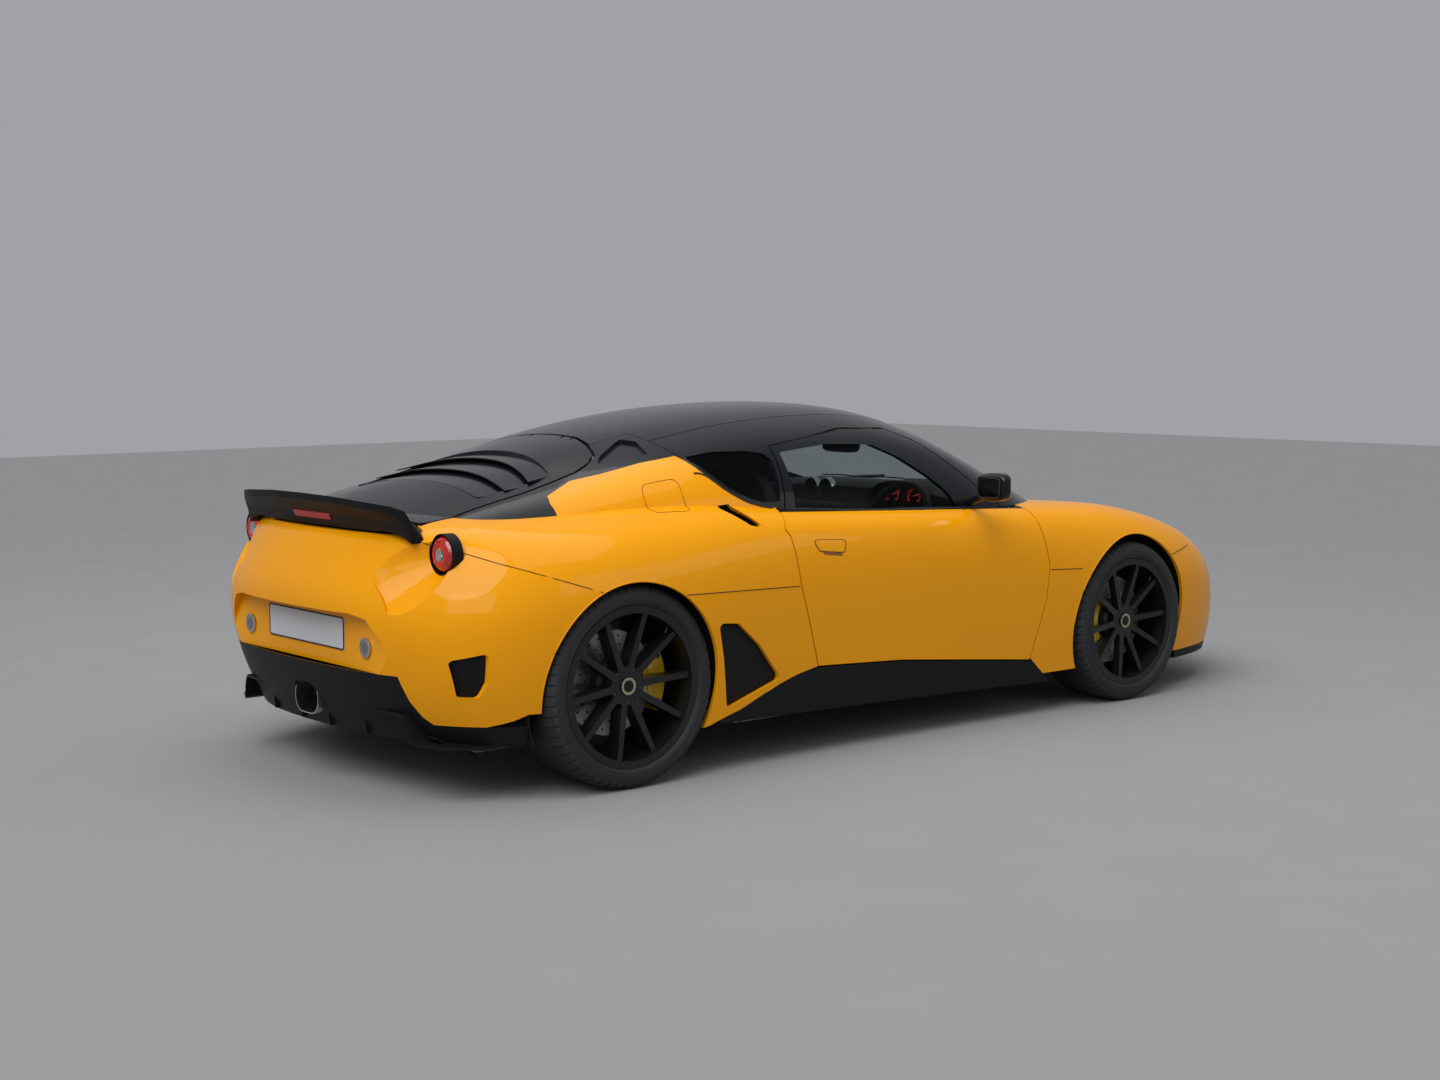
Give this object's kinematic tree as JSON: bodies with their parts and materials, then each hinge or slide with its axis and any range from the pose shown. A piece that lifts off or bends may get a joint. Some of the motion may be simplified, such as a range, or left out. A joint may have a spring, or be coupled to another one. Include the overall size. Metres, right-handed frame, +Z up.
{
  "type": "coupe car",
  "caption": "Low mid-engine coupe car with louvred tailgate, rear spoiler, steered front wheels, opening doors and lids.",
  "frame": {"origin": "centre of the car's outline seen from above, on the ground under the tyres", "axes": "+X towards the nose, +Y towards the car's left side, +Z up"},
  "size_m": [4.3906, 2.034, 1.2388],
  "materials": {
    "body_paint": "gloss",
    "black_paint": "gloss",
    "black_trim": "satin",
    "tub_metal": "satin",
    "liner_plastic": "matte",
    "window_glass": "gloss",
    "lamp_glass": "gloss",
    "lamp_red": "gloss",
    "plate_white": "satin",
    "steel": "satin",
    "iron": "satin",
    "wheel_black": "satin",
    "disc_iron": "satin",
    "caliper_yellow": "gloss",
    "tyre": "matte",
    "seat_leather": "satin",
    "interior_black": "matte"
  },
  "bodies": {
    "car_body": {"chassis_tub": "tub_metal", "wheel_liners": "liner_plastic", "front_clam": "body_paint", "headlamps": "lamp_glass", "front_grille": "black_trim", "front_splitter": "black_trim", "quarter_panels": "body_paint", "side_pods": "body_paint", "side_vents": "black_trim", "sills": "black_trim", "lamp_bezels": "black_trim", "reversing_lamps": "lamp_glass", "tail_lamps": "lamp_red", "rear_bumper": "body_paint", "number_plate": "plate_white", "rear_diffuser": "black_trim", "exhaust": "steel", "roof": "black_paint", "rear_pillars": "black_paint", "fixed_glass": "window_glass", "engine_block": "iron", "front_wishbones": "iron", "rear_suspension": "iron", "rear_calipers": "caliper_yellow", "seats": "seat_leather", "dashboard": "interior_black", "steering_wheel": "interior_black"},
    "bonnet": {"bonnet": "body_paint"},
    "tailgate": {"tailgate": "black_paint", "hatch_glass": "window_glass", "spoiler": "black_trim"},
    "door_left": {"door_panel_left": "body_paint", "door_frame_left": "black_paint", "door_glass_left": "window_glass"},
    "upright_left": {"knuckle_left": "iron", "front_caliper_left": "caliper_yellow"},
    "wheel_front_left": {"tyre_front_left": "tyre", "rim_front_left": "wheel_black", "disc_front_left": "disc_iron"},
    "wheel_rear_left": {"tyre_rear_left": "tyre", "rim_rear_left": "wheel_black", "disc_rear_left": "disc_iron"},
    "door_right": {"door_panel_right": "body_paint", "door_frame_right": "black_paint", "door_glass_right": "window_glass"},
    "upright_right": {"knuckle_right": "iron", "front_caliper_right": "caliper_yellow"},
    "wheel_front_right": {"tyre_front_right": "tyre", "rim_front_right": "wheel_black", "disc_front_right": "disc_iron"},
    "wheel_rear_right": {"tyre_rear_right": "tyre", "rim_rear_right": "wheel_black", "disc_rear_right": "disc_iron"}
  },
  "joints": [
    {"name": "bonnet_hinge", "type": "hinge", "parent": "car_body", "child": "bonnet", "pos_m": [1.09, 0, 0.792], "axis": [0, -1, 0], "range_deg": [0, 55]},
    {"name": "tailgate_hinge", "type": "hinge", "parent": "car_body", "child": "tailgate", "pos_m": [-1.112, 0, 1.12], "axis": [0, 1, 0], "range_deg": [0, 60]},
    {"name": "door_hinge_left", "type": "hinge", "parent": "car_body", "child": "door_left", "pos_m": [0.64, 0.893, 0.5], "axis": [0, 0, -1], "range_deg": [0, 62]},
    {"name": "steer_left", "type": "hinge", "parent": "car_body", "child": "upright_left", "pos_m": [1.175, 0.7, 0.327], "axis": [0, 0, 1], "range_deg": [-32, 32]},
    {"name": "spin_front_left", "type": "hinge", "parent": "upright_left", "child": "wheel_front_left", "pos_m": [1.175, 0.7625, 0.327], "axis": [0, 1, 0], "continuous": true},
    {"name": "spin_rear_left", "type": "hinge", "parent": "car_body", "child": "wheel_rear_left", "pos_m": [-1.4, 0.7575, 0.3425], "axis": [0, 1, 0], "continuous": true},
    {"name": "door_hinge_right", "type": "hinge", "parent": "car_body", "child": "door_right", "pos_m": [0.64, -0.893, 0.5], "axis": [0, 0, 1], "range_deg": [0, 62]},
    {"name": "steer_right", "type": "hinge", "parent": "car_body", "child": "upright_right", "pos_m": [1.175, -0.7, 0.327], "axis": [0, 0, 1], "range_deg": [-32, 32]},
    {"name": "spin_front_right", "type": "hinge", "parent": "upright_right", "child": "wheel_front_right", "pos_m": [1.175, -0.7625, 0.327], "axis": [0, 1, 0], "continuous": true},
    {"name": "spin_rear_right", "type": "hinge", "parent": "car_body", "child": "wheel_rear_right", "pos_m": [-1.4, -0.7575, 0.3425], "axis": [0, 1, 0], "continuous": true}
  ],
  "couplings": [
    {"joint": "steer_right", "follows": "steer_left", "ratio": 1}
  ]
}
